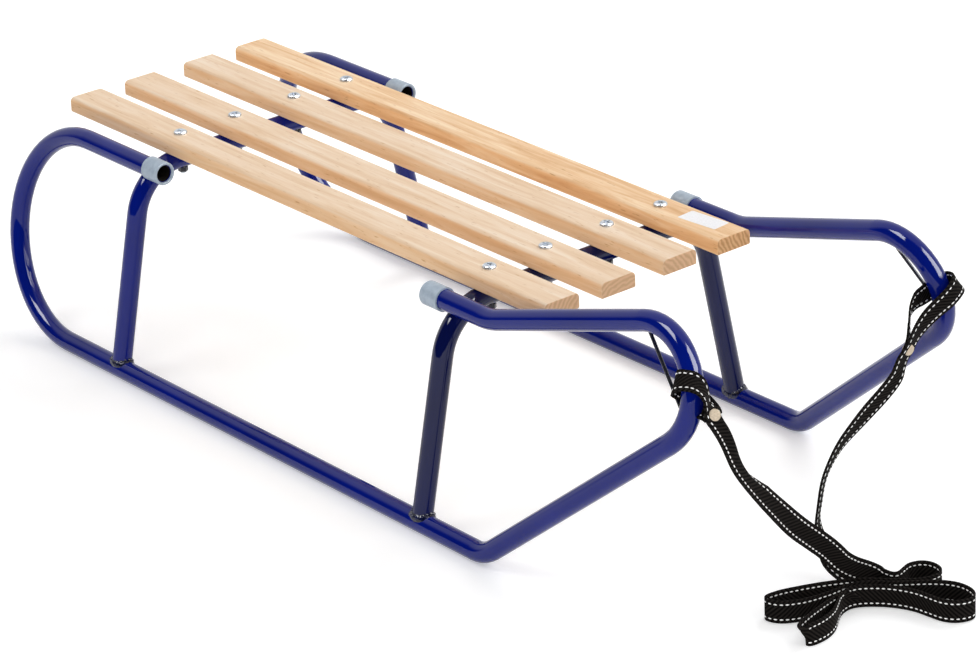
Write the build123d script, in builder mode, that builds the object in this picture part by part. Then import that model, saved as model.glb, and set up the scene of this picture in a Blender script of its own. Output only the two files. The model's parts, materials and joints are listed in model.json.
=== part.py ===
"""Child's sled of bent steel tube with four wooden slats and a webbing tow strap.

Millimetres. +X is the front, +Y the left side and +Z up. The origin is on the ground,
under the middle of the rigid sled.
"""

import os
from math import cos, radians, sin, sqrt, tan

from build123d import *

# Tube
tube_d = 18.0
tube_wall = 1.5
weld_gap = 0.1

# Runners: one bent tube a side, in a plane that leans inwards
track_width = 356.0
lean = 12.0
ground_run = 598.5
nose_angle = 39.5
front_top_angle = 16.7
nose_bend = 50.0
toe_bend = 34.0
kink_bend = 60.0

# Arches: two bent tubes that carry the seat, placed from the rear end of the ground run
crossbar_height = 191.0
shoulder_bend = 50.0
rear_arch_at = 83.5
front_arch_at = 516.5
kink_past_arch = 52.0

# Seat: four slats in two pairs
middle_gap = 30.5
pair_gap = 23.75
slat_thickness = 14.0
rear_overhang = 148.0
front_overhang = 91.0
slat_round = 4.5
slat_ease = 1.5

# Screws and nuts
screw_d = 5.0
screw_hole = 0.5
screw_tail = 1.5
head_d = 12.0
head_height = 2.8
head_round = 2.0
recess_length = 6.4
recess_width = 1.4
recess_depth = 1.6
nut_across = 8.0
nut_height = 4.0
nut_clearance = 0.3
thread_gap = 0.05

# End caps
cap_wall = 1.5
cap_length = 21.5
cap_lip = 2.0
cap_hole_d = 16.0
cap_gap = 0.1
cap_round = 1.2
cap_clearance = 0.5
rear_cap_past_arch = 13.3

# Strap keepers: a rod across the inside of each nose bend
keeper_d = 3.0
keeper_top = 98.0
keeper_bottom = -12.0
keeper_out = 2.3

# Tow strap
strap_width = 20.0
strap_thick = 1.6
strap_slack = 1.5
strap_tail = 8.0
strap_tube_d = 6.0
exit_run = 12.0
entry_run = 14.0
hank_turn = 50.2
hank_face = 10.0
hank_round = 4.0
rivet_d = 4.0
rivet_head_d = 9.0
rivet_head_height = 1.0
rivet_gap = 0.1

tube_r = tube_d / 2
half_track = track_width / 2
leg_lean = tan(radians(lean))


def runner_plane(side, s=0.0, v=0.0):
    """Plane of one runner: s runs forward from the ground run's rear end, v up the lean."""
    up = Vector(0, -side * sin(radians(lean)), cos(radians(lean)))
    forward = Vector(1, 0, 0)
    origin = Vector(rear_x + s, side * half_track, tube_r) + up * v
    return Plane(origin=origin, x_dir=forward, z_dir=forward.cross(up))


# Where a runner's ends rest on the shoulders of the arches, measured up the lean
shoulder_turn = 90.0 - lean
corner_v = (crossbar_height - tube_r) / cos(radians(lean))
shoulder_start = corner_v - shoulder_bend * tan(radians(shoulder_turn / 2))
end_gap = tube_d + weld_gap
top_v = shoulder_start + sqrt((shoulder_bend + end_gap) ** 2 - shoulder_bend**2)
rear_bend = top_v / 2

# End caps: the front ones stop where their wall would meet the arch's shoulder
cap_inner = tube_r + cap_gap
cap_outer = cap_inner + cap_wall
front_cap_past_arch = sqrt(tube_r**2 - (end_gap - cap_outer) ** 2) + cap_clearance

# Each slat has its screws in its middle, and the outer ones sit at the ends of the straight crossbars
corner_y = half_track - leg_lean * (crossbar_height - tube_r)
straight_half = corner_y - shoulder_bend * tan(radians(shoulder_turn / 2))
outer_slat = straight_half - nut_across / 2 - nut_clearance
slat_width = (outer_slat - middle_gap / 2 - pair_gap) / 1.5
inner_slat = (middle_gap + slat_width) / 2
slat_offsets = (-outer_slat, -inner_slat, inner_slat, outer_slat)

# Side outline of a runner
kink_at = front_arch_at + kink_past_arch
rise = tan(radians(nose_angle))
fall = tan(radians(front_top_angle))
apex_at = (top_v - fall * kink_at + rise * ground_run) / (rise - fall)
apex_v = rise * (apex_at - ground_run)
nose_tangent = nose_bend / tan(radians((nose_angle - front_top_angle) / 2))
nose_s = apex_at - nose_tangent * cos(radians(nose_angle)) - nose_bend * sin(radians(nose_angle))
nose_v = apex_v - nose_tangent * sin(radians(nose_angle)) + nose_bend * cos(radians(nose_angle))
rear_x = (rear_bend - nose_s - nose_bend) / 2

sides = (("right", -1), ("left", 1))
arches = (("rear", rear_arch_at), ("front", front_arch_at))

os.makedirs("parts", exist_ok=True)


def save(part, name):
    part.label = name
    export_step(part, f"parts/{name}.step")


# Runners
rear_end = rear_arch_at + rear_cap_past_arch + cap_length - cap_lip
front_end = front_arch_at - front_cap_past_arch - cap_length + cap_lip
for word, side in sides:
    plane = runner_plane(side)
    with BuildPart() as runner:
        with BuildLine(plane) as path:
            Line((rear_end, top_v), (0, top_v))
            JernArc(start=(0, top_v), tangent=(-1, 0), radius=rear_bend, arc_size=180)
            FilletPolyline(
                (0, 0),
                (ground_run, 0),
                (apex_at, apex_v),
                (kink_at, top_v),
                (front_end, top_v),
                radius=[toe_bend, nose_bend, kink_bend],
            )
        with BuildSketch(Plane(origin=path.line @ 0, z_dir=path.line % 0)):
            Circle(tube_r)
            Circle(tube_r - tube_wall, mode=Mode.SUBTRACT)
        sweep(path=path.line)
    save(runner.part, f"runner_{word}")

# Arches, coped onto the ground runs and drilled for the slat screws
for word, place in arches:
    arch_plane = Plane(origin=(rear_x + place, 0, 0), x_dir=(0, 1, 0), z_dir=(1, 0, 0))
    with BuildPart() as arch:
        with BuildLine(arch_plane) as path:
            FilletPolyline(
                (-half_track, tube_r),
                (-corner_y, crossbar_height),
                (corner_y, crossbar_height),
                (half_track, tube_r),
                radius=shoulder_bend,
            )
        with BuildSketch(Plane(origin=path.line @ 0, z_dir=path.line % 0)):
            Circle(tube_r)
            Circle(tube_r - tube_wall, mode=Mode.SUBTRACT)
        sweep(path=path.line)
        for _, side in sides:
            with Locations(Plane(origin=(rear_x + place, side * half_track, tube_r), z_dir=(1, 0, 0))):
                Cylinder(tube_r + weld_gap, 3 * tube_d, mode=Mode.SUBTRACT)
        for offset_y in slat_offsets:
            with Locations((rear_x + place, offset_y, crossbar_height)):
                Cylinder((screw_d + screw_hole) / 2, 2 * tube_d, mode=Mode.SUBTRACT)
    save(arch.part, f"arch_{word}")

# Slats on the crossbars
slat_bottom = crossbar_height + tube_r
slat_top = slat_bottom + slat_thickness
slat_rear = rear_x + rear_arch_at - rear_overhang
slat_length = rear_overhang + front_arch_at - rear_arch_at + front_overhang
for number, offset_y in enumerate(slat_offsets, 1):
    with BuildPart() as slat:
        end_plane = Plane(origin=(slat_rear, offset_y, slat_bottom), x_dir=(0, 1, 0), z_dir=(1, 0, 0))
        with BuildSketch(end_plane) as end:
            Rectangle(slat_width, slat_thickness, align=(Align.CENTER, Align.MIN))
            fillet(end.vertices().group_by(Axis.Y)[-1], slat_round)
            fillet(end.vertices().group_by(Axis.Y)[0], slat_ease)
        extrude(amount=slat_length)
        fillet(slat.faces().sort_by(Axis.X)[0].edges(), slat_ease / 2)
        fillet(slat.faces().sort_by(Axis.X)[-1].edges(), slat_ease / 2)
        for _, place in arches:
            with Locations((rear_x + place, offset_y, slat_bottom + slat_thickness / 2)):
                Cylinder((screw_d + screw_hole) / 2, 2 * slat_thickness, mode=Mode.SUBTRACT)
    save(slat.part, f"slat_{number}")

# Screws down through slat and crossbar, each with a nut under the crossbar
nut_top = crossbar_height - tube_r
shank_end = nut_top - nut_height - screw_tail
for word, place in arches:
    for number, offset_y in enumerate(slat_offsets, 1):
        centre = (rear_x + place, offset_y)
        with BuildPart() as screw:
            with BuildSketch(Plane(origin=(*centre, slat_top), z_dir=(0, 0, 1))):
                Circle(head_d / 2)
            extrude(amount=head_height)
            fillet(screw.edges().group_by(Axis.Z)[-1], head_round)
            with BuildSketch(Plane(origin=(*centre, slat_top), z_dir=(0, 0, -1))):
                Circle(screw_d / 2)
            extrude(amount=slat_top - shank_end)
            with BuildSketch(Plane(origin=(*centre, slat_top + head_height), z_dir=(0, 0, 1))):
                Rectangle(recess_length, recess_width)
                Rectangle(recess_width, recess_length)
            extrude(amount=-recess_depth, mode=Mode.SUBTRACT)
        save(screw.part, f"screw_{word}_{number}")
        with BuildPart() as nut:
            with BuildSketch(Plane(origin=(*centre, nut_top), z_dir=(0, 0, -1))):
                RegularPolygon(nut_across / 2, 6, major_radius=False)
                Circle(screw_d / 2 + thread_gap, mode=Mode.SUBTRACT)
            extrude(amount=nut_height)
        save(nut.part, f"nut_{word}_{number}")

# End caps: sleeves with a lip that stops on the tube's end
for word, side in sides:
    for end_word, end_s, inward in (("rear", rear_end, -1), ("front", front_end, 1)):
        mouth = runner_plane(side, end_s, top_v)
        with BuildPart() as cap:
            with BuildSketch(Plane(origin=mouth.origin, z_dir=(inward, 0, 0))):
                Circle(cap_outer)
            extrude(amount=cap_length - cap_lip)
            with BuildSketch(Plane(origin=mouth.origin, z_dir=(inward, 0, 0))):
                Circle(cap_inner)
            extrude(amount=cap_length, mode=Mode.SUBTRACT)
            with BuildSketch(Plane(origin=mouth.origin, z_dir=(-inward, 0, 0))):
                Circle(cap_outer)
                Circle(cap_hole_d / 2, mode=Mode.SUBTRACT)
            extrude(amount=cap_lip)
            fillet(cap.edges().filter_by(GeomType.CIRCLE).group_by(Axis.X)[0 if inward > 0 else -1], cap_round)
        save(cap.part, f"cap_{end_word}_{word}")

# Strap keepers
keeper_reach = nose_bend - tube_r / 2
for word, side in sides:
    nose = runner_plane(side, nose_s, nose_v)
    out = -side * keeper_out
    first = nose.from_local_coords(
        (keeper_reach * cos(radians(keeper_top)), keeper_reach * sin(radians(keeper_top)), out)
    )
    last = nose.from_local_coords(
        (keeper_reach * cos(radians(keeper_bottom)), keeper_reach * sin(radians(keeper_bottom)), out)
    )
    with BuildPart() as keeper:
        with BuildSketch(Plane(origin=first, z_dir=last - first)):
            Circle(keeper_d / 2)
        extrude(amount=(last - first).length)
        with Locations(nose):
            Torus(nose_bend, tube_r + weld_gap, mode=Mode.SUBTRACT)
    save(keeper.part, f"strap_keeper_{word}")

# Strap ends: a turn of webbing round the nose tube, lapped on the strap and riveted
# side word, side, angle of the turn on the nose bend, way that the lap faces, rivet's place
strap_ends = (
    ("right", -1, 18.0, (0.77, -0.61, 0.37), (475.3, -136.5, 198.6)),
    ("left", 1, 14.0, (0.89, -0.57, 0.09), (456.7, 94.7, 175.4)),
)
turn_r = tube_r + strap_slack
lap_height = turn_r + 1.5 * strap_thick
strap_start = {}
for word, side, angle, facing, rivet_at in strap_ends:
    nose = runner_plane(side, nose_s, nose_v)
    out = (cos(radians(angle)), sin(radians(angle)))
    middle = nose.from_local_coords((nose_bend * out[0], nose_bend * out[1], 0))
    along = nose.from_local_coords((-out[1], out[0], 0)) - nose.origin
    lap_from = middle + Vector(*facing).normalized() * lap_height
    lap = Vector(*rivet_at) - lap_from
    lap_normal = Vector(*facing) - lap.normalized() * lap.normalized().dot(Vector(*facing))
    lap_plane = Plane(origin=lap_from, x_dir=lap, z_dir=lap_normal)
    rivet_plane = Plane(origin=rivet_at, x_dir=lap, z_dir=lap_normal)
    with BuildPart() as loop:
        with BuildSketch(Plane(origin=middle, z_dir=along)):
            Circle(turn_r + strap_thick)
            Circle(turn_r, mode=Mode.SUBTRACT)
        extrude(amount=strap_width / 2, both=True)
        with BuildSketch(lap_plane):
            with Locations(((lap.length + strap_tail) / 2, 0)):
                Rectangle(lap.length + strap_tail, strap_width)
        extrude(amount=strap_thick, both=True)
        with Locations(rivet_plane):
            Cylinder(rivet_d / 2 + rivet_gap, 4 * strap_thick, mode=Mode.SUBTRACT)
    save(loop.part, f"strap_loop_{word}")
    with BuildPart() as rivet:
        with BuildSketch(rivet_plane):
            Circle(rivet_d / 2)
        extrude(amount=strap_thick, both=True)
        for face in (1, -1):
            with BuildSketch(rivet_plane.offset(face * strap_thick)):
                Circle(rivet_head_d / 2)
            extrude(amount=face * rivet_head_height)
    save(rivet.part, f"strap_rivet_{word}")
    strap_start[word] = (Vector(*rivet_at) + lap.normalized() * strap_tail, lap.normalized())

# Hank: the loose bow that the strap is folded into, as one solid of its outer shape
hank_plane = Plane(origin=(489.3, 15, 0), x_dir=(cos(radians(hank_turn)), sin(radians(hank_turn)), 0))
hank_outline = (
    (hank_face, 16), (30, 13), (44, 10), (57, 2), (61, -10), (60, -22), (74, -31), (82, -44), (81, -59),
    (66, -65), (48, -60), (34, -47), (14, -38), (-12, -36), (-22, -47), (-31, -74), (-46, -91), (-65, -102),
    (-69, -93), (-52, -62), (-71, -58), (-88, -46), (-78, -32), (-30, -18), (hank_face, -14),
)
with BuildPart() as hank:
    with BuildSketch(hank_plane) as outline:
        with BuildLine():
            Polyline(*hank_outline, close=True)
        make_face()
        fillet(outline.vertices().sort_by_distance(hank_plane.origin)[2:], hank_round)
    extrude(amount=strap_width)
save(hank.part, "strap_hank")

# Strands that hang from the loops to the hank, as plain tubes
# side word, route, where the strand meets the flat face of the hank
strands = (
    ("right", ((477, -116, 160), (480, -92, 114), (485, -56, 70), (489, -24, 42), (490, -4, 22)), -5),
    ("left", ((452, 70, 137), (451, 40, 117), (450, 9, 102), (449, -4, 68), (449, 0, 34), (460, 6, 14)), 10),
)
for word, route, entry in strands:
    start, heading = strap_start[word]
    last = hank_plane.from_local_coords((hank_face, entry, strap_width / 2))
    before = hank_plane.from_local_coords((hank_face - entry_run, entry, strap_width / 2))
    points = [start, start + heading * exit_run, *(Vector(*point) for point in route), before, last]
    runs = [b - a for a, b in zip(points, points[1:])]
    radii = []
    for a, b in zip(runs, runs[1:]):
        turn = radians(a.get_angle(b))
        radii.append(0.45 * min(a.length, b.length) / tan(turn / 2))
    with BuildPart() as strand:
        with BuildLine() as path:
            FilletPolyline(*points, radius=radii)
        with BuildSketch(Plane(origin=start, z_dir=heading)):
            Circle(strap_tube_d / 2)
        sweep(path=path.line)
    length = path.wires()[0].length
    section = strand.part.volume / length
    print(f"strap_{word}: length {length:.0f}, section {section:.1f}, radii", [round(r) for r in radii])
    save(strand.part, f"strap_{word}")
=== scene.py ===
import json
import math
import random

import bmesh
import bpy
from mathutils import Matrix, Vector, noise


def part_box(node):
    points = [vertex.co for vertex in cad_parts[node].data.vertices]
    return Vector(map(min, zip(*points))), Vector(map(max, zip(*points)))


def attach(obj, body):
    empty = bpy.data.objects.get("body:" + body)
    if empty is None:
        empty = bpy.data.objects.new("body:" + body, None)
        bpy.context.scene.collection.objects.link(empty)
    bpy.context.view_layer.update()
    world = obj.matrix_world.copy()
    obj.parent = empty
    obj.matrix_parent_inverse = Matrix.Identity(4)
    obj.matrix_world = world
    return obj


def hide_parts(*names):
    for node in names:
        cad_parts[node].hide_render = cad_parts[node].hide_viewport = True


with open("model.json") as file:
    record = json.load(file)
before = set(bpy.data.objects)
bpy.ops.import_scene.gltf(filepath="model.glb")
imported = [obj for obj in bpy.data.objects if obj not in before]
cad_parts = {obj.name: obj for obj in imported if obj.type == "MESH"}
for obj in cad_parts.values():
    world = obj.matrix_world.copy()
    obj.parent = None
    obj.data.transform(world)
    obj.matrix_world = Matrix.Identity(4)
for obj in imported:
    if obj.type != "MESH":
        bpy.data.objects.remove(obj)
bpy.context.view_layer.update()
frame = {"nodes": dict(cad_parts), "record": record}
nodes = frame["nodes"]
scene = bpy.context.scene
print("frame loaded:", len(nodes), "CAD nodes")


def linear(hexColour):
    parts = [int(hexColour[i:i + 2], 16) / 255 for i in (1, 3, 5)]
    return [c / 12.92 if c <= 0.04045 else ((c + 0.055) / 1.055) ** 2.4 for c in parts] + [1.0]


# Adds one node: settings are its own properties, inputs are values or sockets to link from
def addNode(tree, kind, inputs=None, **settings):
    node = tree.nodes.new(kind)
    for key, value in settings.items():
        setattr(node, key, value)
    for key, value in (inputs or {}).items():
        if isinstance(value, bpy.types.NodeSocket):
            tree.links.new(value, node.inputs[key])
        else:
            node.inputs[key].default_value = value
    return node


# Colour stops for a Color Ramp, as (place, hex)
def setStops(ramp, stops):
    elements = ramp.color_ramp.elements
    while len(elements) < len(stops):
        elements.new(0.5)
    for element, (place, colour) in zip(elements, stops):
        element.position = place
        element.color = linear(colour)


def newMaterial(name):
    mat = bpy.data.materials.new(name)
    mat.use_nodes = True
    tree = mat.node_tree
    return mat, tree, tree.nodes["Principled BSDF"]


# A material whose colour drifts between two tones, in clouds of a real size
def mottled(name, tones, cloudMm, detail=2.0, stops=(0.35, 0.65)):
    mat, tree, shader = newMaterial(name)
    coords = addNode(tree, "ShaderNodeTexCoord").outputs["Object"]
    cloud = addNode(tree, "ShaderNodeTexNoise", {"Vector": coords, "Scale": 1000 / cloudMm, "Detail": detail})
    tone = addNode(tree, "ShaderNodeValToRGB", {0: cloud.outputs["Fac"]})
    setStops(tone, list(zip(stops, tones)))
    tree.links.new(tone.outputs[0], shader.inputs["Base Color"])
    return mat, tree, shader, cloud.outputs["Fac"]


def setFinish(shader, finish):
    for socket, value in finish.items():
        shader.inputs[socket].default_value = value


def newPiece(name, bm, mat, smooth=True):
    mesh = bpy.data.meshes.new(name)
    bm.to_mesh(mesh)
    bm.free()
    if smooth:
        mesh.shade_smooth()
    piece = bpy.data.objects.new(name, mesh)
    scene.collection.objects.link(piece)
    mesh.materials.append(mat)
    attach(piece, "root")
    return piece


# Camera, as it stood for the photograph
camera = {
    "eye": (2.52935, -2.0073, 1.5097),
    "right": (0.6402, 0.7672, -0.0389),
    "up": (-0.2887, 0.2872, 0.9133),
    "lens": 148.65,
    "sensor": 36,
    "clip": (0.1, 50),
}
cam = bpy.data.objects.new("camera", bpy.data.cameras.new("camera"))
scene.collection.objects.link(cam)
right = Vector(camera["right"]).normalized()
back = right.cross(Vector(camera["up"])).normalized()
aimed = Matrix((right, back.cross(right), back)).transposed().to_4x4()
cam.matrix_world = Matrix.Translation(camera["eye"]) @ aimed
cam.data.sensor_width = camera["sensor"]
cam.data.sensor_fit = "HORIZONTAL"
cam.data.lens = camera["lens"]
cam.data.clip_start, cam.data.clip_end = camera["clip"]
scene.camera = cam
scene.view_settings.view_transform = "Standard"
print("camera set")

# Studio: white floor paper and four broad lamps, which the gloss doesn't mirror. It mirrors a pale room,
# two bright softboxes in it, and the dark side of the room where the camera stands.
studio = {
    "floorSize": 12,
    "floorColour": "#f4f4f4",
    "floorGlow": 0.3,  # white added to the floor that is seen, over which its shadows lie
    "fill": 0.46,
    "room": "#ffffff",
    "darkSide": "#24242c",
    "darkBearing": -65,
    "darkBlend": 0.22,
    "gleam": 16.0,
    "edge": 5.0,  # soft border of a softbox, in degrees
    "softboxes": [(27, 40, 44, 40), (-119, 57, 38, 20)],  # bearing, elevation, degrees wide and tall
    "lampsAway": 7.0,
    "aim": (0.0, 0.0, 0.1),
    "lamps": [  # name, bearing, elevation, degrees wide and tall, radiance
        ("keyFar", 95, 42, 44, 40, 3.4),
        ("keyRight", 27, 40, 44, 40, 1.3),
        ("keyLeft", -119, 57, 38, 20, 3.0),
        ("keyFront", -52, 20, 40, 30, 2.9),
    ],
}
bm = bmesh.new()
bmesh.ops.create_grid(bm, x_segments=1, y_segments=1, size=studio["floorSize"] / 2)
mesh = bpy.data.meshes.new("floor")
bm.to_mesh(mesh)
bm.free()
floor = bpy.data.objects.new("floor", mesh)
scene.collection.objects.link(floor)

# Matt white paper: no shine, so only the shadows show on it
floorPaper, tree, shader = newMaterial("floorPaper")
setFinish(shader, {"Base Color": linear(studio["floorColour"]), "Roughness": 0.9, "Specular IOR Level": 0.0})
rays = addNode(tree, "ShaderNodeLightPath").outputs
seen = addNode(
    tree, "ShaderNodeMath", {0: rays["Is Camera Ray"], 1: rays["Is Glossy Ray"]}, operation="MAXIMUM"
)
glow = addNode(tree, "ShaderNodeMath", {0: seen.outputs[0], 1: studio["floorGlow"]}, operation="MULTIPLY")
white = addNode(tree, "ShaderNodeEmission", {"Color": (1, 1, 1, 1), "Strength": glow.outputs[0]})
paper = addNode(tree, "ShaderNodeAddShader", {0: shader.outputs[0], 1: white.outputs[0]})
tree.links.new(paper.outputs[0], tree.nodes["Material Output"].inputs["Surface"])
mesh.materials.append(floorPaper)

world = bpy.data.worlds.new("studio")
scene.world = world
world.use_nodes = True
tree = world.node_tree
background = tree.nodes["Background"]
rays = addNode(tree, "ShaderNodeLightPath").outputs
direction = addNode(tree, "ShaderNodeTexCoord").outputs["Generated"]
compass = addNode(tree, "ShaderNodeSeparateXYZ", {0: direction}).outputs
bearingAt = addNode(
    tree, "ShaderNodeMath", {0: compass["Y"], 1: compass["X"]}, operation="ARCTAN2"
).outputs[0]
elevationAt = addNode(tree, "ShaderNodeMath", {0: compass["Z"]}, operation="ARCSINE").outputs[0]
darkWay = math.radians(studio["darkBearing"])
facing = addNode(
    tree, "ShaderNodeVectorMath",
    {0: direction, 1: (math.cos(darkWay), math.sin(darkWay), 0)}, operation="DOT_PRODUCT",
)
dark = addNode(tree, "ShaderNodeMapRange", {0: facing.outputs["Value"], 1: 0.0, 2: studio["darkBlend"]})
room = addNode(
    tree, "ShaderNodeMix",
    {0: dark.outputs[0], 6: linear(studio["room"]), 7: linear(studio["darkSide"])}, data_type="RGBA",
).outputs[2]
for bearing, elevation, wide, tall in studio["softboxes"]:
    inBox = None
    for angle, middleAt, spread in ((bearingAt, bearing, wide), (elevationAt, elevation, tall)):
        off = addNode(tree, "ShaderNodeMath", {0: angle, 1: math.radians(middleAt)}, operation="SUBTRACT")
        off = addNode(tree, "ShaderNodeMath", {0: off.outputs[0]}, operation="ABSOLUTE")
        inside, outside = math.radians(spread / 2), math.radians(spread / 2 + studio["edge"])
        window = addNode(
            tree, "ShaderNodeMapRange", {0: off.outputs[0], 1: inside, 2: outside, 3: 1.0, 4: 0.0}
        )
        if inBox is not None:
            window = addNode(tree, "ShaderNodeMath", {0: inBox, 1: window.outputs[0]}, operation="MULTIPLY")
        inBox = window.outputs[0]
    bright = (studio["gleam"],) * 3 + (1,)
    room = addNode(tree, "ShaderNodeMix", {0: inBox, 6: room, 7: bright}, data_type="RGBA").outputs[2]
fill = (studio["fill"],) * 3 + (1,)
lit = addNode(tree, "ShaderNodeMix", {0: rays["Is Glossy Ray"], 6: fill, 7: room}, data_type="RGBA")
shown = addNode(
    tree, "ShaderNodeMix", {0: rays["Is Camera Ray"], 6: lit.outputs[2], 7: (1, 1, 1, 1)}, data_type="RGBA"
)
tree.links.new(shown.outputs[2], background.inputs["Color"])
background.inputs["Strength"].default_value = 1.0

for name, bearing, elevation, wide, tall, radiance in studio["lamps"]:
    distance, around, above = studio["lampsAway"], math.radians(bearing), math.radians(elevation)
    level = math.cos(above)
    light = bpy.data.lights.new(name, "AREA")
    light.shape = "RECTANGLE"
    light.size = 2 * distance * math.tan(math.radians(wide / 2)) * level
    light.size_y = 2 * distance * math.tan(math.radians(tall / 2))
    light.energy = radiance * math.pi * light.size * light.size_y
    lampWay = Vector((math.cos(around) * level, math.sin(around) * level, math.sin(above)))
    lamp = bpy.data.objects.new(name, light)
    scene.collection.objects.link(lamp)
    lamp.location = Vector(studio["aim"]) + lampWay * distance
    lamp.rotation_euler = lampWay.to_track_quat("Z", "Y").to_euler()
    lamp.visible_glossy = False
print("studio lit")

# Stoved enamel on steel tube: deep cobalt under a clear hard gloss, with a faint orange peel.
# The front arch has painted shade: a darker copy of the same enamel, for the lesser light that falls on it.
enamel = {
    "runner": ("enamelBlue", ("#04136a", "#031676")),
    # painted shade: the front arch's copy of the enamel, in darker tones
    "frontArchShaded": ("enamelShadedCopy", ("#070d38", "#060f48")),
    "driftMm": 71.4,
    "peelMm": 4.0,
    "finish": {"Roughness": 0.6, "Specular IOR Level": 0.0},
    "coat": {"Coat Weight": 1.0, "Coat IOR": 1.38, "Coat Roughness": 0.03},
}
enamels = {}
for use in ("runner", "frontArchShaded"):
    name, tones = enamel[use]
    enamels[use], tree, shader, _ = mottled(name, tones, enamel["driftMm"], stops=(0.3, 0.7))
    coords = addNode(tree, "ShaderNodeTexCoord").outputs["Object"]
    peel = addNode(
        tree, "ShaderNodeTexNoise", {"Vector": coords, "Scale": 1000 / enamel["peelMm"], "Detail": 1.0}
    ).outputs["Fac"]
    bump = addNode(tree, "ShaderNodeBump", {"Height": peel, "Strength": 0.03, "Distance": 0.0003})
    tree.links.new(bump.outputs[0], shader.inputs["Normal"])
    tree.links.new(bump.outputs[0], shader.inputs["Coat Normal"])
    setFinish(shader, {**enamel["finish"], **enamel["coat"]})

# Weld seams under the same paint: lumpy, with painted shade in their hollows, and glossy on their ripples
seam = {"tones": ("#070919", "#121a44"), "lumpMm": 2.5, "coat": {"Coat Weight": 1.0, "Coat Roughness": 0.08}}
# The noise that raises the ripples also darkens the tone where it is low: painted shade in the hollows
weldSeam, tree, shader, lumpsAndHollowShade = mottled("weldSeam", seam["tones"], seam["lumpMm"], detail=3.0)
bump = addNode(tree, "ShaderNodeBump", {"Height": lumpsAndHollowShade, "Strength": 0.6, "Distance": 0.0008})
tree.links.new(bump.outputs[0], shader.inputs["Normal"])
tree.links.new(bump.outputs[0], shader.inputs["Coat Normal"])
setFinish(shader, {**enamel["finish"], **seam["coat"]})

# Enamelled rod: the same paint, in the thin dark coat that a small rod takes
rod = {"tones": ("#05060f", "#0b0d20"), "driftMm": 16.7, "finish": {"Roughness": 0.3}}
rodEnamel, _, shader, _ = mottled("rodEnamel", rod["tones"], rod["driftMm"], stops=(0.3, 0.7))
setFinish(shader, rod["finish"])

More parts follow.
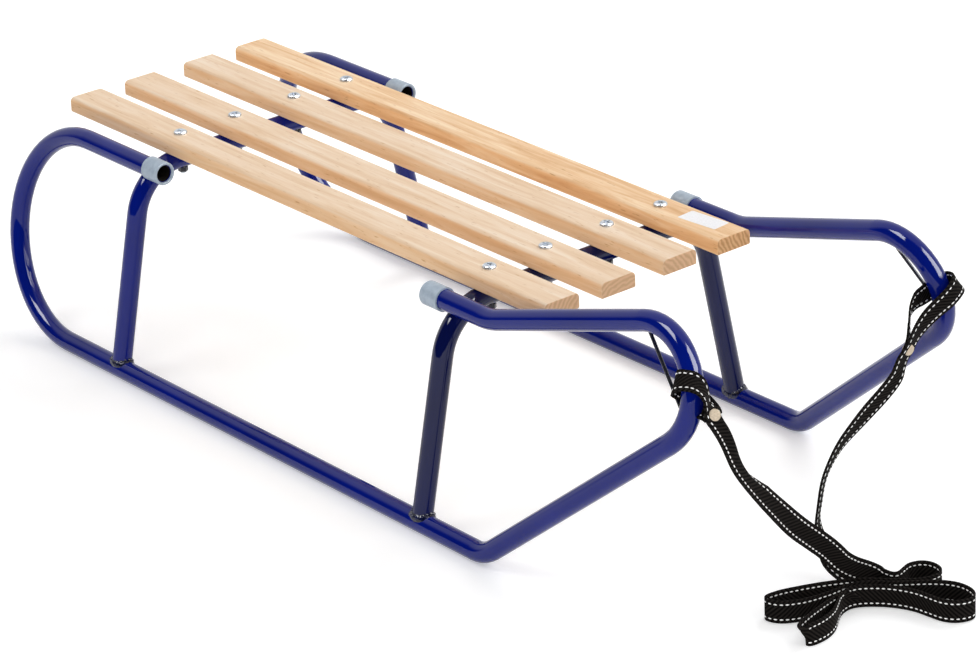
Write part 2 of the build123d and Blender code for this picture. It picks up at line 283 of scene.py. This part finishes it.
# Planed beech, oiled: pale with long soft grain and short darker flecks along the slat, with painted shade on
# its sides, and darker on its ends, where the year rings show. One slat was cut nearer the warm heartwood.
beech = {  # name, then the tones: pale, warm, band, fleck, sawn end, ring
    "pale": ("beechSlat", "#ebd8c3", "#e4caae", "#d9b896", "#b98c5e", "#dab38e", "#c59d77"),
    "heart": ("beechHeart", "#f2d9ba", "#e6c29a", "#d4a577", "#b27f4e", "#dbaf80", "#b98757"),
    "grainMm": 7.0,
    "grainStretch": 0.06,
    "fleckMm": 1.6,
    "fleckStretch": 0.14,
    "ringMm": 4.2,
    "pith": (0, 0.02, -0.16),
    # painted shade: the warm darker tint multiplied onto the slats' sides
    "sideShadeTint": "#ffedd6",
    "finish": {"Roughness": 0.6, "Specular IOR Level": 0.2},
}
woods = {}
for use in ("pale", "heart"):
    name, pale, warm, band, fleckTone, endTone, ringTone = beech[use]
    woods[use], tree, shader = newMaterial(name)
    texture = addNode(tree, "ShaderNodeTexCoord").outputs
    coords = texture["Object"]
    grainLine = addNode(
        tree, "ShaderNodeMapping", {"Vector": coords, "Scale": (beech["grainStretch"], 1.0, 1.0)}
    ).outputs[0]
    grain = addNode(
        tree, "ShaderNodeTexNoise",
        {"Vector": grainLine, "Scale": 1000 / beech["grainMm"], "Detail": 4.0, "Roughness": 0.6,
         "Distortion": 0.6},
    ).outputs["Fac"]
    tone = addNode(tree, "ShaderNodeValToRGB", {0: grain})
    setStops(tone, [(0.3, band), (0.5, warm), (0.68, pale)])
    fleckLine = addNode(
        tree, "ShaderNodeMapping", {"Vector": coords, "Scale": (beech["fleckStretch"], 1.0, 1.0)}
    ).outputs[0]
    fleck = addNode(
        tree, "ShaderNodeTexNoise", {"Vector": fleckLine, "Scale": 1000 / beech["fleckMm"], "Detail": 1.0}
    )
    fleckShare = addNode(tree, "ShaderNodeMapRange", {0: fleck.outputs["Fac"], 1: 0.68, 2: 0.8, 4: 0.7})
    flecked = addNode(
        tree, "ShaderNodeMix",
        {0: fleckShare.outputs[0], 6: tone.outputs[0], 7: linear(fleckTone)}, data_type="RGBA",
    )
    ringAt = addNode(
        tree, "ShaderNodeMapping", {"Vector": coords, "Location": beech["pith"], "Scale": (0.0, 1.0, 1.0)}
    ).outputs[0]
    ringScale = math.tau / 20 / beech["ringMm"] * 1000  # a wave of scale 1 repeats every tau/20
    rings = addNode(
        tree, "ShaderNodeTexWave",
        {"Vector": ringAt, "Scale": ringScale, "Distortion": 5.0, "Detail Scale": 1.5},
        wave_type="RINGS", rings_direction="X",
    )
    endGrain = addNode(
        tree, "ShaderNodeMix",
        {0: rings.outputs["Fac"], 6: linear(ringTone), 7: linear(endTone)}, data_type="RGBA",
    )
    normal = addNode(tree, "ShaderNodeSeparateXYZ", {0: texture["Normal"]}).outputs
    # Painted shade: faces that look sideways are multiplied by a warm darker tint
    sideLook = addNode(tree, "ShaderNodeMath", {0: normal["Y"]}, operation="ABSOLUTE").outputs[0]
    sideShadeShare = addNode(tree, "ShaderNodeMapRange", {0: sideLook, 1: 0.55, 2: 0.9})
    sideShaded = addNode(
        tree, "ShaderNodeMix",
        {0: sideShadeShare.outputs[0], 6: flecked.outputs[2], 7: linear(beech["sideShadeTint"])},
        data_type="RGBA", blend_type="MULTIPLY",
    )
    endLook = addNode(tree, "ShaderNodeMath", {0: normal["X"]}, operation="ABSOLUTE").outputs[0]
    endShare = addNode(tree, "ShaderNodeMapRange", {0: endLook, 1: 0.55, 2: 0.9})
    sawn = addNode(
        tree, "ShaderNodeMix",
        {0: endShare.outputs[0], 6: sideShaded.outputs[2], 7: endGrain.outputs[2]}, data_type="RGBA",
    )
    tree.links.new(sawn.outputs[2], shader.inputs["Base Color"])
    bump = addNode(tree, "ShaderNodeBump", {"Height": grain, "Strength": 0.15, "Distance": 0.0004})
    tree.links.new(bump.outputs[0], shader.inputs["Normal"])
    setFinish(shader, beech["finish"])

# Zinc-plated steel: bright and slightly blue, with a soft cloudy polish
zinc = {"tones": ("#b7bec7", "#d6dbe1"), "cloudMm": 1.43, "finish": {"Metallic": 1.0, "Roughness": 0.38}}
zincPlate, _, shader, _ = mottled("zincPlate", zinc["tones"], zinc["cloudMm"], detail=3.0)
setFinish(shader, zinc["finish"])

# Moulded soft PVC: pale blue-grey with a matt sheen and fine mould texture
capVinyl = {"tones": ("#94a2b1", "#a3b0bd"), "grainMm": 3.85, "finish": {"Roughness": 0.38}}
capPvc, tree, shader, mould = mottled("capPvc", capVinyl["tones"], capVinyl["grainMm"], detail=3.0)
bump = addNode(tree, "ShaderNodeBump", {"Height": mould, "Strength": 0.1, "Distance": 0.0002})
tree.links.new(bump.outputs[0], shader.inputs["Normal"])
setFinish(shader, capVinyl["finish"])

# Nickelled steel, worn dull: the rivets, warm white with little shine
nickel = {
    "tones": ("#c4b49d", "#d8c8b2"),
    "cloudMm": 1.11,
    "finish": {"Roughness": 0.6, "Specular IOR Level": 0.15},
}
rivetNickel, _, shader, _ = mottled("rivetNickel", nickel["tones"], nickel["cloudMm"])
setFinish(shader, nickel["finish"])

# Woven polypropylene webbing: near black, with slanting twill ribs, drawn coarser than life so that they
# show. Its map runs in millimetres.
webbing = {
    "dark": "#060505",
    "rib": "#221f1d",
    "ribMm": 2.8,
    "slant": 45,
    "finish": {"Roughness": 0.8, "Specular IOR Level": 0.03},
}
twillWebbing, tree, shader = newMaterial("twillWebbing")
uv = addNode(tree, "ShaderNodeUVMap", uv_map="strapMm").outputs[0]
slant = addNode(
    tree, "ShaderNodeMapping", {"Vector": uv, "Rotation": (0, 0, math.radians(90 - webbing["slant"]))}
).outputs[0]
rib = addNode(
    tree, "ShaderNodeTexWave", {"Vector": slant, "Scale": math.tau / 20 / webbing["ribMm"]}
).outputs["Fac"]
tone = addNode(tree, "ShaderNodeValToRGB", {0: rib})
setStops(tone, [(0.2, webbing["dark"]), (0.9, webbing["rib"])])
tree.links.new(tone.outputs[0], shader.inputs["Base Color"])
bump = addNode(tree, "ShaderNodeBump", {"Height": rib, "Strength": 0.5, "Distance": 0.0004})
tree.links.new(bump.outputs[0], shader.inputs["Normal"])
setFinish(shader, webbing["finish"])

# Bleached polyester sewing thread: soft white
thread = {"tones": ("#f4f3f1", "#fdfdfc"), "plyMm": 0.667, "finish": {"Roughness": 0.8}}
stitchThread, _, shader, _ = mottled("stitchThread", thread["tones"], thread["plyMm"], stops=(0.3, 0.6))
setFinish(shader, thread["finish"])

finishes = {
    "frame_blue": enamels["runner"],
    "keeper_steel": rodEnamel,
    "slat_wood": woods["pale"],
    "zinc": zincPlate,
    "cap_grey": capPvc,
    "webbing": twillWebbing,
    "rivet_steel": rivetNickel,
}
# The front arch takes the darker enamel copy, which is painted shade; slat_4 takes the heartwood.
ownFinish = {"arch_front": enamels["frontArchShaded"], "slat_4": woods["heart"]}
for sub in frame["record"]["subparts"]:
    materials = nodes[sub["node"]].data.materials
    materials.clear()
    shadedNut = sub["node"].startswith("nut_")  # painted shade: a nut under a slat takes the dark rod enamel, so it lies dark in the shade there
    materials.append(rodEnamel if shadedNut else ownFinish.get(sub["node"], finishes[sub["material_slot"]]))
print("materials set")

# Tow strap: one length of webbing, looped on each runner and folded into a bow on the floor.
# Each row is a point of its route in millimetres and the way that its width lies there.
strap = {
    "width": 19.6,
    "thick": 1.6,
    "edge": 0.5,
    "acrossSteps": 6,
    "stitchInset": 3.2,
    "stitchPitch": 4.65,
    "stitchLength": 3.1,
    "stitchWidth": 1.25,
    "stitchHeight": 0.9,
    "curl": [(474.0, -135.6, 199.4), (481.1, -90.5, 116.7)],  # of the route: the edge that rolls back
    "curlFrom": 0.34,  # of the half width
    "curlTurn": 82,
    "curlEase": 0.8,
    "plain": [(-31, 47.5, 10.2), (-8, 0, 1.1)],  # of the bow: no stitches show where it runs under the rest
    "bowOrigin": (489.3, 15.0),
    "bowTurn": 50.2,
}
nearEnd = [
    (471.4, -132.7, 194.7, -0.37, 0.91, 0.19),
    (468.5, -133.3, 197.1, -0.37, 0.91, 0.20),
    (454.4, -128.1, 197.8, 0.22, 0.73, 0.65),
    (446.5, -128.9, 201.8, 0.26, 0.75, 0.61),
    (440.5, -131.3, 206.5, 0.14, 0.68, 0.72),
    (437.4, -136.5, 210.7, -0.08, 0.51, 0.86),
    (439.1, -142.9, 216.1, -0.10, 0.49, 0.86),
    (445.1, -147.5, 221.1, -0.55, 0.70, 0.46),
    (451.2, -147.3, 224.3, -0.62, 0.62, 0.49),
    (459.3, -142.4, 224.5, -0.51, 0.72, 0.46),
    (464.4, -138.1, 220.2, -0.50, 0.82, 0.27),
    (467.6, -136.2, 212.5, -0.55, 0.82, -0.14),
    (468.9, -136.7, 207.0, -0.61, 0.74, -0.28),
    (471.8, -136.2, 202.0, -0.33, 0.92, -0.24),
    (474.0, -135.6, 199.4, -0.02, 0.99, 0.04),
    (476.6, -131.7, 193.1, -0.05, 0.99, 0.03),
    (477.3, -126.2, 184.1, -0.04, 0.99, 0.00),
    (477.6, -120.2, 171.0, -0.12, 0.98, -0.02),
    (477.5, -113.2, 150.3, -0.30, 0.94, -0.18),
    (478.9, -103.5, 134.3, -0.36, 0.93, -0.02),
    (481.1, -90.5, 116.7, -0.32, 0.94, 0.05),
    (483.2, -76.4, 99.8, -0.21, 0.96, 0.17),
    (485.2, -59.8, 80.6, 0.00, 0.85, 0.50),
    (487.1, -42.7, 64.8, 0.15, 0.72, 0.68),
    (488.9, -26.5, 49.5, 0.25, 0.45, 0.86),
    (490.0, -11.5, 31.0, 0.20, 0.20, 0.95),
]
bow = [  # along the bow, towards its front, height, and the width's way in the same terms
    (4, 1.5, 14.0, 0, 0, 1),
    (15, 9.5, 10.6, 0, 0, 1),
    (22.5, 11.5, 10.4, 0, 0, 1),
    (28, 3, 10.6, 0, 0, 1),
    (33, -5, 10.4, 0, 0, 1),
    (44, -8.5, 10.4, 0, 0, 1),
    (54, -3, 10.4, 0, 0, 1),
    (58.5, 8.5, 10.4, 0, 0, 1),
    (53, 17.5, 10.4, 0, 0, 1),
    (39.3, 23, 10.5, 0, 0, 1),
    (22.6, 23.5, 11.0, 0, 0, 1),
    (8, 23.2, 12.0, 0, 0, 1),
    (-6, 22.5, 12.4, 0, 0, 1),
    (-20, 21.6, 11.5, 0, 0, 1),
    (-38, 23.5, 10.6, 0, 0, 1),
    (-56.4, 28.4, 10.4, 0, 0, 1),
    (-76, 35.5, 10.4, 0, 0, 1),
    (-88, 45, 10.4, 0, 0, 1),
    (-76, 54, 10.4, 0, 0, 1),
    (-60, 52, 10.4, 0, 0, 1),
    (-48.3, 47.6, 10.4, 0, 0, 1),
    (-30.9, 37.5, 10.6, 0, 0, 1),
    (-21, 31, 11.5, 0, 0, 1),
    (-8, 27.2, 12.4, 0, 0, 1),
    (4, 26.4, 11.6, 0, 0, 1),
    (15.1, 26.8, 10.8, 0, 0, 1),
    (27.1, 26.2, 10.4, 0, 0, 1),
    (50.9, 26.0, 10.4, 0, 0, 1),
    (68, 30.5, 10.4, 0, 0, 1),
    (79, 43, 10.4, 0, 0, 1),
    (79.5, 57, 10.4, 0, 0, 1),
    (66, 63, 10.4, 0, 0, 1),
    (53.5, 60, 10.4, 0, 0, 1),
    (42.7, 49.5, 10.4, 0, 0, 1),
    (31.8, 39.5, 10.4, 0, 0, 1),
    (14.7, 32.2, 10.5, 0, 0, 1),
    (-2.7, 30.4, 10.8, 0, 0, 1),
    (-14, 31.4, 10.6, 0, 0, 1),
    (-21, 36, 10.4, 0, 0, 1),
    (-26.5, 45, 10.4, 0, 0, 1),
    (-29, 56, 10.4, 0, 0, 1),
    (-33, 70.5, 10.2, -0.06, 0.04, 1),
    (-41.5, 83, 10.2, -0.28, 0.18, 0.94),
    (-55, 93.2, 9.8, -0.46, 0.26, 0.84),
    (-59.3, 90.3, 9.8, -0.46, 0.26, 0.84),
    (-52.5, 77, 10.4, -0.30, 0.20, 0.93),
    (-42, 61, 10.2, -0.05, 0.03, 1),
    (-30, 46, 10.3, 0, 0, 1),
    (-23, 36.5, 10.2, 0.35, 0.1, 0.9),
    (-16, 29, 5.4, 0.9, 0.3, 0.3),
    (-9, 17, 1.1, 0.98, 0.2, 0.0),
    (-7, 2, 1.1, 1.0, 0.0, 0.0),
    (-10, -10, 6.9, 0.7, -0.3, 0.6),
]
farEnd = [
    (462.5, 7.5, 13.5, -0.25, 0.45, 0.80),
    (451.0, 3.0, 27.0, -0.45, 0.70, 0.50),
    (448.3, -2.3, 48.3, -0.58, 0.79, 0.05),
    (450.5, -1.1, 66.8, -0.57, 0.78, -0.20),
    (450.3, 3.1, 86.7, -0.54, 0.74, -0.38),
    (450.8, 11.4, 101.6, -0.50, 0.73, -0.47),
    (449.7, 23.9, 113.0, -0.42, 0.76, -0.49),
    (448.7, 38.7, 121.1, -0.31, 0.80, -0.51),
    (448.6, 56.4, 131.1, -0.17, 0.79, -0.59),
    (451.4, 71.3, 142.3, -0.11, 0.83, -0.54),
    (454.9, 81.4, 154.0, -0.16, 0.77, -0.62),
    (454.4, 85.1, 161.9, -0.27, 0.80, -0.53),
    (454.6, 88.3, 168.6, -0.33, 0.81, -0.49),
    (456.6, 92.8, 174.7, -0.33, 0.82, -0.47),
    (456.9, 96.3, 180.0, -0.38, 0.76, -0.53),
    (456.9, 100.0, 185.2, -0.33, 0.76, -0.56),
    (457.8, 105.8, 191.9, -0.21, 0.71, -0.67),
    (460.0, 113.0, 199.5, -0.10, 0.63, -0.77),
    (463.2, 120.8, 206.1, -0.07, 0.59, -0.81),
    (466.0, 129.4, 212.1, -0.00, 0.54, -0.84),
    (465.5, 137.5, 216.9, -0.00, 0.59, -0.81),
    (461.9, 144.0, 219.0, -0.05, 0.62, -0.78),
    (455.8, 147.7, 219.0, -0.04, 0.61, -0.79),
    (448.1, 148.3, 217.3, -0.10, 0.54, -0.84),
    (441.7, 143.5, 213.1, -0.07, 0.41, -0.91),
    (438.6, 135.7, 208.7, -0.04, 0.39, -0.92),
    (437.8, 128.4, 205.9, -0.13, 0.37, -0.92),
    (437.8, 120.6, 204.8, -0.25, 0.47, -0.85),
    (439.5, 113.9, 202.2, -0.43, 0.54, -0.73),
    (442.3, 108.6, 199.6, -0.57, 0.60, -0.56),
    (445.7, 104.7, 195.6, -0.61, 0.62, -0.49),
    (449.5, 100.2, 188.6, -0.58, 0.65, -0.50),
    (452.9, 96.6, 181.3, -0.53, 0.70, -0.49),
    (454.6, 93.4, 174.1, -0.37, 0.79, -0.49),
    (453.7, 90.5, 168.5, -0.37, 0.79, -0.50),
]
bowSpot = (
    Matrix.Translation((*strap["bowOrigin"], 0))
    @ Matrix.Rotation(math.radians(strap["bowTurn"]), 4, "Z")
    @ Matrix.Diagonal((1, -1, 1, 1))
)
route = []
for rows, laidAt in ((nearEnd, Matrix.Identity(4)), (bow, bowSpot), (farEnd, Matrix.Identity(4))):
    for row in rows:
        route.append((laidAt @ Vector(row[:3]), laidAt.to_3x3() @ Vector(row[3:])))


# The smooth line through a list of control points, as Blender draws it
def smoothLine(points):
    curve = bpy.data.curves.new("line", "CURVE")
    curve.dimensions = "3D"
    curve.resolution_u = 10
    spline = curve.splines.new("NURBS")
    spline.points.add(len(points) - 1)
    for point, place in zip(spline.points, points):
        point.co = (*place, 1)
    spline.order_u = 3
    spline.use_endpoint_u = True
    holder = bpy.data.objects.new("line", curve)
    mesh = bpy.data.meshes.new_from_object(holder)
    line = [v.co.copy() for v in mesh.vertices]
    bpy.data.objects.remove(holder)
    bpy.data.curves.remove(curve)
    bpy.data.meshes.remove(mesh)
    return line


middle = smoothLine([place / 1000 for place, _ in route])
wideWay = smoothLine([way.normalized() for _, way in route])
runs = [(b - a).length for a, b in zip(middle, middle[1:])]
reach = [sum(runs[:i]) for i in range(len(middle))]
frames = []
for i, place in enumerate(middle):
    heading = (middle[min(i + 1, len(middle) - 1)] - middle[max(i - 1, 0)]).normalized()
    across = (wideWay[i] - heading * wideWay[i].dot(heading)).normalized()
    frames.append((place, across, heading.cross(across)))
print("strap route:", len(route), "points,", round(reach[-1], 3), "m")


# The step along the strap that lies nearest to a place in millimetres
def nearestStep(spot):
    return min(range(len(frames)), key=lambda i: (frames[i][0] * 1000 - Vector(spot)).length)


half = strap["width"] / 2000
curlAt = [nearestStep(spot) for spot in strap["curl"]]
rolls = []
for i in range(len(frames)):
    part = min(max((i - curlAt[0]) / (curlAt[1] - curlAt[0]), 0), 1)
    rolls.append(math.radians(strap["curlTurn"]) * math.sin(math.pi * part) ** strap["curlEase"])


# A place on the strap's width, from -1 to 1, and the way that its face looks there
def onStrap(at, side):
    place, across, face = frames[at]
    flat = min(side, strap["curlFrom"])
    rolled = across * math.cos(rolls[at]) - face * math.sin(rolls[at])
    spot = place + (across * flat + rolled * (side - flat)) * half
    if side > strap["curlFrom"]:
        face = face * math.cos(rolls[at]) + across * math.sin(rolls[at])
    return spot, face


bm = bmesh.new()
bmesh.ops.create_grid(bm, x_segments=len(frames) - 1, y_segments=strap["acrossSteps"], size=1)
uvLayer = bm.loops.layers.uv.new("strapMm")
mapMm = {}
for vert in bm.verts:
    i = round((vert.co.x + 1) / 2 * (len(frames) - 1))
    side = vert.co.y
    mapMm[vert] = (reach[i] * 1000, side * strap["width"] / 2)
    vert.co = onStrap(i, side)[0]
for quad in bm.faces:
    for loop in quad.loops:
        loop[uvLayer].uv = mapMm[loop.vert]
strapBand = newPiece("strapBand", bm, twillWebbing)
solid = strapBand.modifiers.new("thickness", "SOLIDIFY")
solid.thickness = strap["thick"] / 1000
solid.offset = 0
edge = strapBand.modifiers.new("edge", "BEVEL")
edge.width = strap["edge"] / 1000
edge.segments = 2
edge.limit_method = "ANGLE"
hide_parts("strap_loop_right", "strap_loop_left", "strap_right", "strap_left", "strap_hank")

# Rivets: a flat-domed head on each face of the two layers at a loop, and the shank between them
rivet = {
    "headWide": 9.6,
    "headHigh": 1.3,
    "shankWide": 4.0,
    "grip": 4.0,
    "clear": 6.2,  # no stitch lies nearer to a rivet's middle
    "front": (0.65, -0.63, 0.42),
    # name, place, how far the head is turned askew towards the front, its lift off the strap, CAD node
    "places": [
        ("rivetRight", (474.7, -136.3, 197.9), 0.4, 1.7, "strap_rivet_right"),
        ("rivetLeft", (457.3, 92.3, 175.1), 0.35, 0.0, "strap_rivet_left"),
    ],
}
rivets, rivetSpots = [], []
for name, near, tilt, lift, node in rivet["places"]:
    place, across, face = frames[nearestStep(near)]
    outward = Vector(rivet["front"]).normalized()
    face = (face if face.dot(outward) > 0 else -face).lerp(outward, tilt).normalized()
    heading = across.cross(face).normalized()
    wide, high, shank = rivet["headWide"] / 2, rivet["headHigh"], rivet["shankWide"] / 2
    top, foot = strap["thick"] / 2 + lift, strap["thick"] / 2 - rivet["grip"]
    outline = [
        (0, top + high), (wide * 0.45, top + high * 0.93), (wide * 0.8, top + high * 0.66),
        (wide * 0.97, top + high * 0.3), (wide, top + 0.1), (wide * 0.96, top - 0.1),
        (shank, top - 0.1), (shank, foot + 0.1),
        (wide * 0.7, foot + 0.1), (wide * 0.68, foot - high * 0.6), (0, foot - high),
    ]
    bm = bmesh.new()
    chain = [bm.verts.new((x / 1000, 0, z / 1000)) for x, z in outline]
    edges = [bm.edges.new(pair) for pair in zip(chain, chain[1:])]
    bmesh.ops.spin(
        bm, geom=chain + edges, axis=(0, 0, 1), cent=(0, 0, 0), angle=math.tau, steps=32, use_merge=True
    )
    bmesh.ops.remove_doubles(bm, verts=bm.verts, dist=1e-6)
    bmesh.ops.recalc_face_normals(bm, faces=bm.faces)
    seat = Matrix((heading, face.cross(heading), face)).transposed().to_4x4()
    bmesh.ops.transform(bm, matrix=Matrix.Translation(place) @ seat, verts=bm.verts)
    piece = newPiece(name, bm, rivetNickel)
    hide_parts(node)
    rivets.append(piece)
    rivetSpots.append(place)
print("rivets set:", len(rivets))

# White stitches along both edges, on both faces: one small bead, set down over and over
bead = bmesh.new()
bmesh.ops.create_uvsphere(bead, u_segments=8, v_segments=4, radius=1)
beadMesh = bpy.data.meshes.new("bead")
bead.to_mesh(beadMesh)
bead.free()
bm = bmesh.new()
count = int(reach[-1] * 1000 / strap["stitchPitch"])
inset = 1 - strap["stitchInset"] / 1000 / half
beadSize = [strap[key] / 2000 for key in ("stitchLength", "stitchWidth", "stitchHeight")]
plain = [nearestStep(bowSpot @ Vector(spot)) for spot in strap["plain"]]
at, sewn = 0, 0
for number in range(count):
    goal = (number + 0.5) * strap["stitchPitch"] / 1000
    while reach[at + 1] < goal:
        at += 1
    if plain[0] < at < plain[1]:
        continue
    part = (goal - reach[at]) / (reach[at + 1] - reach[at])
    for side in (1, -1):
        here, there = onStrap(at, side * inset), onStrap(at + 1, side * inset)
        face = here[1].lerp(there[1], part)
        heading = (there[0] - here[0]).normalized()
        ways = (heading, face.cross(heading).normalized(), face)
        shape = Matrix([way * size for way, size in zip(ways, beadSize)]).transposed().to_4x4()
        for skin in (1, -1):
            spot = here[0].lerp(there[0], part) + face * skin * strap["thick"] / 2000
            if min((spot - rivetSpot).length for rivetSpot in rivetSpots) < rivet["clear"] / 1000:
                continue
            stitch = Matrix.Translation(spot) @ shape
            beadMesh.transform(stitch)
            bm.from_mesh(beadMesh)
            beadMesh.transform(stitch.inverted())
            sewn += 1
strapStitches = newPiece("strapStitches", bm, stitchThread)
print("strap sewn:", sewn, "stitches")

# The frame's tubes, as welded: where the arches stand, and where the runners' ends rest on their shoulders
tube = {
    "wide": 18.0,
    "halfTrack": 178.0,
    "lean": 12.0,
    "archAt": (-272.72, 160.28),
    "runnerEnd": (138.12, 196.62),  # out from the middle, and up
    "mouths": [(-239.92, -1), (135.28, 1)],  # place of a runner's open end, and the way into it
    "shoulderUp": 145.58,
    "shoulderBend": 50.0,
}

# Weld seams: a pool of weld at the foot of each leg with ripples round it, and a ring of ripples where the
# end of a runner rests on a shoulder
weld = {
    "poolSize": (14.0, 10.2, 6.6),  # along the runner, across it, up the leg
    "poolUp": 5.2,
    "lump": 0.07,
    "lumpMm": 2.857,
    "footSteps": 18,
    "footBead": 1.7,
    "footSpread": (0.6, 1.15),
    "jitter": 0.3,
    "saddle": 0.6,
    "joinSteps": 12,
    "joinReach": 5.2,
    "joinBead": 2.0,
    "joinSpread": (0.8, 1.1),
}
bm = bmesh.new()
dice = random.Random(5)
tubeHalf = tube["wide"] / 2
slope = math.radians(tube["lean"])
endOut, endUp = tube["runnerEnd"]
runnerWay = Vector((1, 0, 0))


def addBead(spot, wide):
    bmesh.ops.create_icosphere(
        bm, subdivisions=2, radius=wide / 1000, matrix=Matrix.Translation(spot / 1000)
    )


for archX in tube["archAt"]:
    for side in (1, -1):
        leg = Vector((0, -side * math.sin(slope), math.cos(slope)))
        acrossLeg = runnerWay.cross(leg)
        foot = Vector((archX, side * tube["halfTrack"], tubeHalf))
        stand = Matrix((runnerWay, acrossLeg, leg)).transposed().to_4x4()
        pool = bmesh.ops.create_icosphere(bm, subdivisions=3, radius=1)["verts"]
        bmesh.ops.scale(bm, vec=[v / 1000 for v in weld["poolSize"]], verts=pool)
        ownLumps = Vector((archX, side * 9, 0))
        for vert in pool:
            vert.co *= 1 + weld["lump"] * noise.noise(vert.co * 1000 / weld["lumpMm"] + ownLumps)
        atFoot = Matrix.Translation((foot + leg * weld["poolUp"]) / 1000)
        bmesh.ops.transform(bm, matrix=atFoot @ stand, verts=pool)
        for step in range(weld["footSteps"]):
            angle = math.tau * (step + dice.uniform(-weld["jitter"], weld["jitter"])) / weld["footSteps"]
            climb = tubeHalf * math.hypot(math.cos(angle), weld["saddle"])
            rim = (runnerWay * math.cos(angle) + acrossLeg * math.sin(angle)) * tubeHalf
            addBead(foot + rim + leg * climb, weld["footBead"] * dice.uniform(*weld["footSpread"]))
        # Where the runner's end meets the shoulder of the arch, between the two tubes' middles
        end = Vector((archX, side * endOut, endUp))
        inward = Vector((0, -side * math.cos(slope), -math.sin(slope)))
        bendMiddle = foot + leg * tube["shoulderUp"] + inward * tube["shoulderBend"]
        toBend = (bendMiddle - end).normalized()
        tangent = runnerWay.cross(toBend)
        for step in range(weld["joinSteps"]):
            angle = math.tau * step / weld["joinSteps"]
            rim = (runnerWay * math.cos(angle) + tangent * math.sin(angle)) * weld["joinReach"]
            addBead(end + toBend * tubeHalf + rim, weld["joinBead"] * dice.uniform(*weld["joinSpread"]))
newPiece("weldBeads", bm, weldSeam)
print("welds run at", 2 * len(tube["archAt"]), "feet")

# Inside the open tube ends: bare steel, made near black as painted shade, brown-black and quite dull
bore = {
    "tones": ("#0a0806", "#16110d"),
    "scaleMm": 4.0,
    "finish": {"Roughness": 0.9, "Specular IOR Level": 0.1},
    "wide": 14.8,
    "deep": 32.0,
    "inset": 0.5,
    "segments": 40,
}
boreShade, _, shader, _ = mottled("boreShade", bore["tones"], bore["scaleMm"])
setFinish(shader, bore["finish"])
# painted shade: a dark sleeve set just inside each open tube end
bm = bmesh.new()
for endX, way in tube["mouths"]:
    for side in (1, -1):
        linerX = endX + way * (bore["deep"] / 2 + bore["inset"])
        linerAt = Matrix.Translation(Vector((linerX, side * endOut, endUp)) / 1000)
        made = bmesh.ops.create_cone(
            bm, cap_ends=True, segments=bore["segments"], radius1=bore["wide"] / 2000,
            radius2=bore["wide"] / 2000, depth=bore["deep"] / 1000,
            matrix=linerAt @ Matrix.Rotation(math.pi / 2, 4, "Y"),
        )["verts"]
        mouth = [f for f in {f for v in made for f in v.link_faces} if f.normal.x * way < -0.9]
        bmesh.ops.delete(bm, geom=mouth, context="FACES_ONLY")
bmesh.ops.reverse_faces(bm, faces=bm.faces)
newPiece("boreShadeLiners", bm, boreShade)
print("tube ends lined:", 2 * len(tube["mouths"]))

# Plain coated paper: a soft white label on the heartwood slat, left blank
label = {
    "tones": ("#e4e3e5", "#efeef0"),
    "fibreMm": 1.5,
    "finish": {"Roughness": 0.45},
    "long": 42.0,
    "wide": 18.6,
    "thick": 0.2,
    "corner": 1.2,
    "place": (210.5, 97.6),
    "turn": 5.0,
}
labelPaper, _, shader, _ = mottled(
    "labelPaper", label["tones"], label["fibreMm"], detail=3.0, stops=(0.3, 0.65)
)
setFinish(shader, label["finish"])
bm = bmesh.new()
bmesh.ops.create_grid(bm, x_segments=1, y_segments=1, size=0.5)
bmesh.ops.scale(bm, vec=(label["long"] / 1000, label["wide"] / 1000, 1), verts=bm.verts)
bmesh.ops.bevel(
    bm, geom=bm.verts[:], offset=label["corner"] / 1000, offset_type="OFFSET", affect="VERTICES", segments=4,
    profile=0.5, material=-1,
)
lifted = bmesh.ops.extrude_face_region(bm, geom=bm.faces[:])["geom"]
upper = [v for v in lifted if isinstance(v, bmesh.types.BMVert)]
bmesh.ops.translate(bm, vec=(0, 0, label["thick"] / 1000), verts=upper)
bmesh.ops.recalc_face_normals(bm, faces=bm.faces)
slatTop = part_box("slat_4")[1][2]
labelX, labelY = label["place"]
laid = Matrix.Translation((labelX / 1000, labelY / 1000, slatTop))
bmesh.ops.transform(bm, matrix=laid @ Matrix.Rotation(math.radians(label["turn"]), 4, "Z"), verts=bm.verts)
newPiece("blankLabel", bm, labelPaper, smooth=False)
print("label laid on the slat at", round(slatTop, 4))
